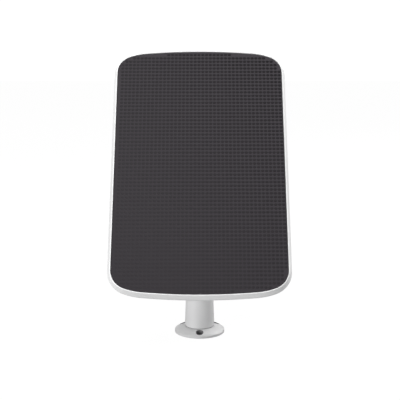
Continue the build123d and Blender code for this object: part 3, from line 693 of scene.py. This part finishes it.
def make_emboss_tree():
    """Bumps in a square lattice on the film's inner face."""
    group, enter, leave = start_geometry(
        "emboss_film",
        [("Dome", "NodeSocketObject", None), ("Pitch", FLOAT, 0.003), ("Columns", "NodeSocketInt", 43),
         ("Rows", "NodeSocketInt", 67), ("Half Width", FLOAT, 0.001), ("Half Length", FLOAT, 0.001),
         ("Bump Height", FLOAT, 0.0001), ("Depth At Middle", FLOAT, 0.5), ("Depth Across", FLOAT, 0.0),
         ("Depth Up", FLOAT, 0.0), ("Least Depth", FLOAT, 0.1),
         ("Face Height", FLOAT, 0.03), ("Shift X", FLOAT, 0.0), ("Shift Y", FLOAT, 0.0),
         ("Edge Gap", FLOAT, 0.0005), ("Bump Material", "NodeSocketMaterial", None)],
    )
    inner = add(group, "GeometryNodeSeparateGeometry", {"domain": "FACE"})
    join(group, enter.outputs["Geometry"], inner.inputs["Geometry"])
    slot_number = add(group, "GeometryNodeInputMaterialIndex")
    on_land = add(group, "FunctionNodeCompare", {"data_type": "INT", "operation": "EQUAL"})
    join(group, slot_number.outputs[0], on_land.inputs[2])
    join(group, on_land.outputs[0], inner.inputs["Selection"])
    rim = add(group, "GeometryNodeMeshToCurve")
    join(group, inner.outputs[0], rim.inputs["Mesh"])
    rim_mesh = add(group, "GeometryNodeCurveToMesh")
    join(group, rim.outputs[0], rim_mesh.inputs["Curve"])

    grid = add(group, "GeometryNodeMeshGrid")
    for size, count in (("Size X", "Columns"), ("Size Y", "Rows")):
        gaps = sum_up(group, "SUBTRACT", enter.outputs[count], 1)
        join(group, sum_up(group, "MULTIPLY", gaps, enter.outputs["Pitch"]), grid.inputs[size])
    join(group, enter.outputs["Columns"], grid.inputs["Vertices X"])
    join(group, enter.outputs["Rows"], grid.inputs["Vertices Y"])
    lift = add(group, "ShaderNodeCombineXYZ")
    for axis, name in (("X", "Shift X"), ("Y", "Shift Y"), ("Z", "Face Height")):
        join(group, enter.outputs[name], lift.inputs[axis])
    raised = add(group, "GeometryNodeTransform")
    join(group, grid.outputs["Mesh"], raised.inputs["Geometry"])
    join(group, lift.outputs[0], raised.inputs["Translation"])

    near = add(group, "GeometryNodeProximity", {"target_element": "EDGES"})
    join(group, rim_mesh.outputs[0], near.inputs[0])
    clear = sum_up(group, "ADD", enter.outputs["Half Width"], enter.outputs["Edge Gap"])
    far_enough = compare(group, near.outputs["Distance"], "GREATER_THAN", clear)
    above = add(group, "ShaderNodeVectorMath", {"operation": "ADD"})
    above.inputs[1].default_value = (0, 0, 1 * MM)
    here = add(group, "GeometryNodeInputPosition")
    join(group, here.outputs[0], above.inputs[0])
    ray = add(group, "GeometryNodeRaycast", Ray_Direction=(0, 0, -1), Ray_Length=10 * MM)
    join(group, inner.outputs[0], ray.inputs["Target Geometry"])
    join(group, above.outputs[0], ray.inputs["Source Position"])
    both = add(group, "FunctionNodeBooleanMath", {"operation": "AND"})
    join(group, ray.outputs["Is Hit"], both.inputs[0])
    join(group, far_enough, both.inputs[1])

    dome = add(group, "GeometryNodeObjectInfo")
    join(group, enter.outputs["Dome"], dome.inputs["Object"])
    parts = add(group, "ShaderNodeSeparateXYZ")
    join(group, here.outputs[0], parts.inputs[0])
    slope = sum_up(group, "MULTIPLY", parts.outputs["X"], enter.outputs["Depth Across"])
    rise = sum_up(group, "MULTIPLY", parts.outputs["Y"], enter.outputs["Depth Up"])
    depth = sum_up(group, "ADD", sum_up(group, "ADD", slope, rise), enter.outputs["Depth At Middle"])
    depth = sum_up(group, "MAXIMUM", depth, enter.outputs["Least Depth"])
    depth = sum_up(group, "MINIMUM", depth, 1.0)
    size = add(group, "ShaderNodeCombineXYZ")
    join(group, enter.outputs["Half Width"], size.inputs["X"])
    join(group, enter.outputs["Half Length"], size.inputs["Y"])
    join(group, sum_up(group, "MULTIPLY", enter.outputs["Bump Height"], depth), size.inputs["Z"])
    bumps = add(group, "GeometryNodeInstanceOnPoints")
    join(group, raised.outputs[0], bumps.inputs["Points"])
    join(group, both.outputs[0], bumps.inputs["Selection"])
    join(group, dome.outputs["Geometry"], bumps.inputs["Instance"])
    join(group, size.outputs[0], bumps.inputs["Scale"])
    real = add(group, "GeometryNodeRealizeInstances")
    join(group, bumps.outputs[0], real.inputs[0])
    finish_bumps = add(group, "GeometryNodeSetMaterial")
    join(group, real.outputs[0], finish_bumps.inputs["Geometry"])
    join(group, enter.outputs["Bump Material"], finish_bumps.inputs["Material"])
    together = add(group, "GeometryNodeJoinGeometry")
    join(group, finish_bumps.outputs[0], together.inputs[0])
    join(group, enter.outputs["Geometry"], together.inputs[0])
    join(group, together.outputs[0], leave.inputs[0])
    return group


emboss_tree = make_emboss_tree()
print("emboss tree nodes:", len(emboss_tree.nodes))


# %% Run the tree and keep its result as a plain mesh
def socket_id(group, name):
    """The identifier of a group's input socket."""
    return next(
        item.identifier for item in group.interface.items_tree
        if item.item_type == "SOCKET" and item.in_out == "INPUT" and item.name == name
    )


def run_tree(source, group, values):
    """Evaluate a geometry tree on an object, and swap the object's mesh for the result."""
    modifier = source.modifiers.new("build", "NODES")
    modifier.node_group = group
    for name, value in values.items():
        modifier[socket_id(group, name)] = value
    graph = bpy.context.evaluated_depsgraph_get()
    result = bpy.data.meshes.new_from_object(source.evaluated_get(graph), depsgraph=graph)
    source.modifiers.remove(modifier)
    source.data = result
    return source


dome = make_dome_mesh()
run_tree(film, emboss_tree, {
    "Dome": dome,
    "Pitch": lattice_pitch,
    "Columns": 2 * int(film_width / lattice_pitch / 2) + 3,
    "Rows": 2 * int(film_length / lattice_pitch / 2) + 1,
    "Shift X": lattice_shift[0],
    "Shift Y": lattice_shift[1],
    "Half Width": bump_half_width,
    "Half Length": bump_half_length,
    "Bump Height": bump_height,
    "Depth At Middle": depth_and_painted_shade_at_middle,
    "Depth Across": depth_and_painted_shade_across,
    "Depth Up": depth_and_painted_shade_up,
    "Least Depth": least_depth_and_painted_shade,
    "Face Height": film_top - bump_height,
    "Edge Gap": 0.05 * MM,
    "Bump Material": film_bump,
})
bpy.data.objects.remove(dome)
film.data.transform(panel_frame)
print("film faces:", len(film.data.polygons), "slots:", list(film.data.materials))
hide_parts("front_film")
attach(film, "panel")

# %% [markdown]
# ## Give the CAD nodes their finishes
#
# Every other piece keeps its CAD mesh. Each material slot of the record has one finish here, and
# the metals differ only in the axis that they were turned about.

# %% Hand out the materials
finish_of_slot = {
    "white_plastic": white_plastic,
    "grey_plastic": grey_acetal,
    "brass": brass,
    "steel": steel_panel,
    "silicone": silicone,
    "dark_film": film_land,
    "clear_sheet": clear_sheet,
    "silicon_cell": cell_silicon,
    "tinned_copper": tinned_copper,
    "glass_fibre_board": laminate_board,
    "foam_tape": foam_tape,
    "circuit_board": green_board,
    "red_insulation": red_insulation,
    "black_insulation": black_insulation,
    "terminal_plastic": green_plastic,
    "ferrite": ferrite,
    "black_epoxy": black_epoxy,
    "aluminium_can": aluminium,
    "cream_plastic": cream_plastic,
    "membrane": membrane,
}
finish_of_node = {
    # The casing's white is painted lighter, a painted light.
    "front_frame": painted_lighter_plastic,
    "rear_cover": painted_lighter_plastic,
    "swivel_glide_ring": glide_plastic,
    "base_flange": base_plastic,
    "swivel_screw": steel_upright,
    "swivel_flat_washer": steel_upright,
    "swivel_wave_washer": steel_upright,
    "tilt_bolt": steel_across,
    "tilt_nut": steel_across,
}


def dress(node, material):
    """Put one material in every slot of a CAD node's object."""
    target = nodes[node]
    for slot in target.material_slots:
        slot.link = "OBJECT"
        slot.material = material
    if not target.material_slots:
        target.data.materials.append(material)


for part in frame["record"]["subparts"]:
    dress(part["node"], finish_of_node.get(part["node"], finish_of_slot[part["material_slot"]]))

# %% [markdown]
# ## Camera
#
# A panel like this is shown from a little above the horizon, square on, with a medium-long lens, so
# that its lean shows as a gentle taper. The camera's aim, pitch and distance are given as numbers.

# %% Place the camera
camera_pitch = math.radians(10)
camera_distance = 658.8 * MM
lens_millimetres = 76.7
aim = Vector((0.3 * MM, -45.05 * MM, 120.6 * MM))
sight = Vector((0, math.cos(camera_pitch), -math.sin(camera_pitch)))
camera = bpy.data.objects.new("camera", bpy.data.cameras.new("camera"))
bpy.context.scene.collection.objects.link(camera)
camera.data.lens = lens_millimetres
camera.data.sensor_width = 36
camera.location = aim - sight * camera_distance
camera.rotation_euler = (math.pi / 2 - camera_pitch, 0, 0)
camera.data.clip_start = 0.01
bpy.context.scene.camera = camera
print("camera at", [round(x, 4) for x in camera.location])

# %% [markdown]
# ## Floor and light
#
# The part stands on a plain white floor in a white room. The key light stands low on the left in
# front, a large soft light hangs above, and two weaker ones on the right lift the shadow side and
# its rim. The world gives an even white fill. It lights less than it shows in reflections, and it is
# brightest where the camera sees it, as an overexposed backdrop is.

# %% Floor
backdrop_brightness = 1.08
floor_seen_share = 0.9  # how much of the floor the camera sees as backdrop, and not as lit paper


def make_floor():
    """A wide white floor under the base."""
    mesh = bpy.data.meshes.new("floor")
    reach = 6.0
    mesh.from_pydata(
        [(-reach, -reach, 0), (reach, -reach, 0), (reach, reach, 0), (-reach, reach, 0)], [], [(0, 1, 2, 3)]
    )
    floor = bpy.data.objects.new("floor", mesh)
    bpy.context.scene.collection.objects.link(floor)
    material, tree, shader, place = start_material("floor_paper", 0.9)
    noise = add(tree, "ShaderNodeTexNoise", Scale=3.0)
    join(tree, place, noise.inputs["Vector"])
    join(tree, ramp(tree, noise.outputs[0], (0.3, (0.44, 0.44, 0.44)), (0.7, (0.46, 0.46, 0.46))),
         shader.inputs["Base Color"])
    seen = add(tree, "ShaderNodeEmission", Strength=backdrop_brightness)
    share = add(tree, "ShaderNodeMixShader")
    path = add(tree, "ShaderNodeLightPath")
    join(tree, sum_up(tree, "MULTIPLY", path.outputs["Is Camera Ray"], floor_seen_share), share.inputs[0])
    join(tree, shader.outputs[0], share.inputs[1])
    join(tree, seen.outputs[0], share.inputs[2])
    join(tree, share.outputs[0], tree.nodes["Material Output"].inputs["Surface"])
    mesh.materials.append(material)
    return floor


make_floor()
print("floor ready")


# %% Lights and world
def add_area_light(name, place, target, size, power, colour=(1, 1, 1)):
    """A soft square light that faces a point."""
    data = bpy.data.lights.new(name, "AREA")
    data.size = size
    data.energy = power
    data.color = colour
    light = bpy.data.objects.new(name, data)
    bpy.context.scene.collection.objects.link(light)
    light.location = place
    light.rotation_euler = (Vector(target) - Vector(place)).to_track_quat("-Z", "Y").to_euler()
    return light


def light_world(strength, mirrored_strength, seen_strength):
    """Even white light, brighter in reflections and brightest where the camera sees it."""
    world = bpy.data.worlds.new("studio")
    bpy.context.scene.world = world
    world.use_nodes = True
    tree = world.node_tree
    fill = tree.nodes["Background"]
    fill.inputs["Color"].default_value = (1, 1, 1, 1)
    fill.inputs["Strength"].default_value = strength
    seen = add(tree, "ShaderNodeBackground", Color=(1, 1, 1, 1), Strength=seen_strength)
    mirrored = add(tree, "ShaderNodeBackground", Color=(1, 1, 1, 1), Strength=mirrored_strength)
    path = add(tree, "ShaderNodeLightPath")
    lit = fill.outputs[0]
    for ray, brighter in (("Is Glossy Ray", mirrored), ("Is Camera Ray", seen)):
        mixed = add(tree, "ShaderNodeMixShader")
        join(tree, path.outputs[ray], mixed.inputs[0])
        join(tree, lit, mixed.inputs[1])
        join(tree, brighter.outputs[0], mixed.inputs[2])
        lit = mixed.outputs[0]
    join(tree, lit, tree.nodes["World Output"].inputs["Surface"])


middle = (0, 0, 0.10)


def around(azimuth, elevation, distance):
    """A place round the object: azimuth 0 is in front, 90 on the right."""
    turn, rise = math.radians(azimuth), math.radians(elevation)
    return (
        distance * math.sin(turn) * math.cos(rise),
        -distance * math.cos(turn) * math.cos(rise),
        middle[2] + distance * math.sin(rise),
    )


add_area_light("key", around(-46, 7, 1.8), middle, size=0.6, power=16.7)
add_area_light("top", around(-6, 58, 1.8), middle, size=1.0, power=19.0)
add_area_light("side", around(107, 15, 1.6), middle, size=0.7, power=7.6)
add_area_light("rim", around(135, 40, 1.6), middle, size=0.8, power=8.5)
light_world(strength=0.21, mirrored_strength=0.87, seen_strength=backdrop_brightness)
bpy.context.scene.view_settings.view_transform = "Standard"
print("lights:", [light.name for light in bpy.data.lights])
